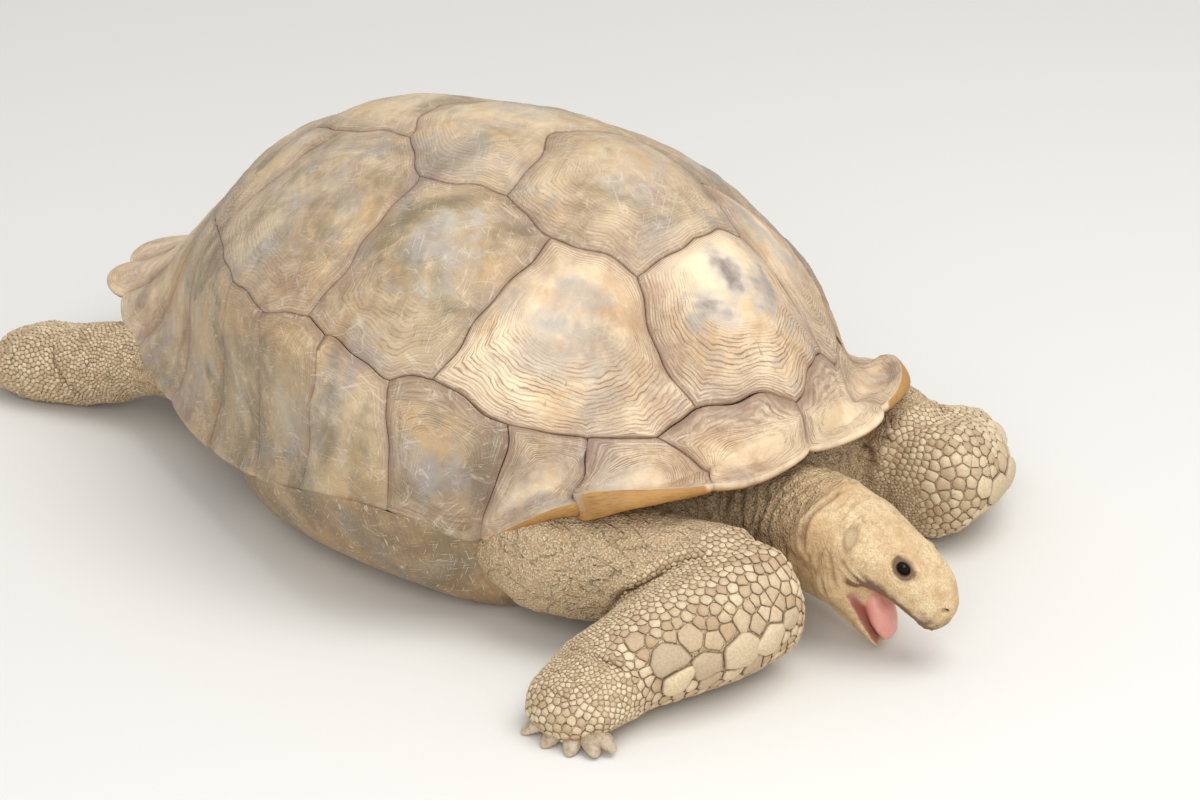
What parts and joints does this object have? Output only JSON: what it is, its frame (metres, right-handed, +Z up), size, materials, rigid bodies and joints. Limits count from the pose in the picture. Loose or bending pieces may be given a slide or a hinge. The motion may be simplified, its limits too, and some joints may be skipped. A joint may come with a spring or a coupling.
{
  "type": "african spurred tortoise",
  "caption": "Life-size adult African spurred tortoise at rest on its belly, head lowered with mouth open, forelimbs folded outward, hind limbs stretched back.",
  "frame": {"origin": "on the floor under the middle of the whole animal's length and breadth", "axes": "+X towards the head along the shell's length, +Y the animal's left, +Z up from the floor it rests on"},
  "size_m": [0.9063, 0.6144, 0.3112],
  "materials": {
    "shell_horn": "satin keratin plates, tan to yellow-brown with blue-grey worn patches and fine growth rings",
    "pale_horn": "satin yellowish keratin of the belly shell and claws",
    "skin": "dry matt skin, sandy brown, granular folds and horny scales",
    "tongue": "moist pink flesh",
    "eye": "wet dark brown eye"
  },
  "bodies": {
    "root": {"costal_1_left": "shell_horn", "costal_1_right": "shell_horn", "costal_2_left": "shell_horn", "costal_2_right": "shell_horn", "costal_3_left": "shell_horn", "costal_3_right": "shell_horn", "costal_4_left": "shell_horn", "costal_4_right": "shell_horn", "eye_left": "eye", "eye_right": "eye", "forearm_left": "skin", "forearm_right": "skin", "forefoot_left": "skin", "forefoot_right": "skin", "head": "skin", "hind_foot_left": "skin", "hind_foot_right": "skin", "lower_jaw": "skin", "marginal_01_left": "shell_horn", "marginal_01_right": "shell_horn", "marginal_02_left": "shell_horn", "marginal_02_right": "shell_horn", "marginal_03_left": "shell_horn", "marginal_03_right": "shell_horn", "marginal_04_left": "shell_horn", "marginal_04_right": "shell_horn", "marginal_05_left": "shell_horn", "marginal_05_right": "shell_horn", "marginal_06_left": "shell_horn", "marginal_06_right": "shell_horn", "marginal_07_left": "shell_horn", "marginal_07_right": "shell_horn", "marginal_08_left": "shell_horn", "marginal_08_right": "shell_horn", "marginal_09_left": "shell_horn", "marginal_09_right": "shell_horn", "marginal_10_left": "shell_horn", "marginal_10_right": "shell_horn", "marginal_11_left": "shell_horn", "marginal_11_right": "shell_horn", "neck": "skin", "plastron": "pale_horn", "shank_left": "skin", "shank_right": "skin", "supracaudal": "shell_horn", "tail": "skin", "thigh_left": "skin", "thigh_right": "skin", "tongue": "tongue", "trunk": "skin", "upper_arm_left": "skin", "upper_arm_right": "skin", "vertebral_1": "shell_horn", "vertebral_2": "shell_horn", "vertebral_3": "shell_horn", "vertebral_4": "shell_horn", "vertebral_5": "shell_horn"}
  },
  "joints": []
}
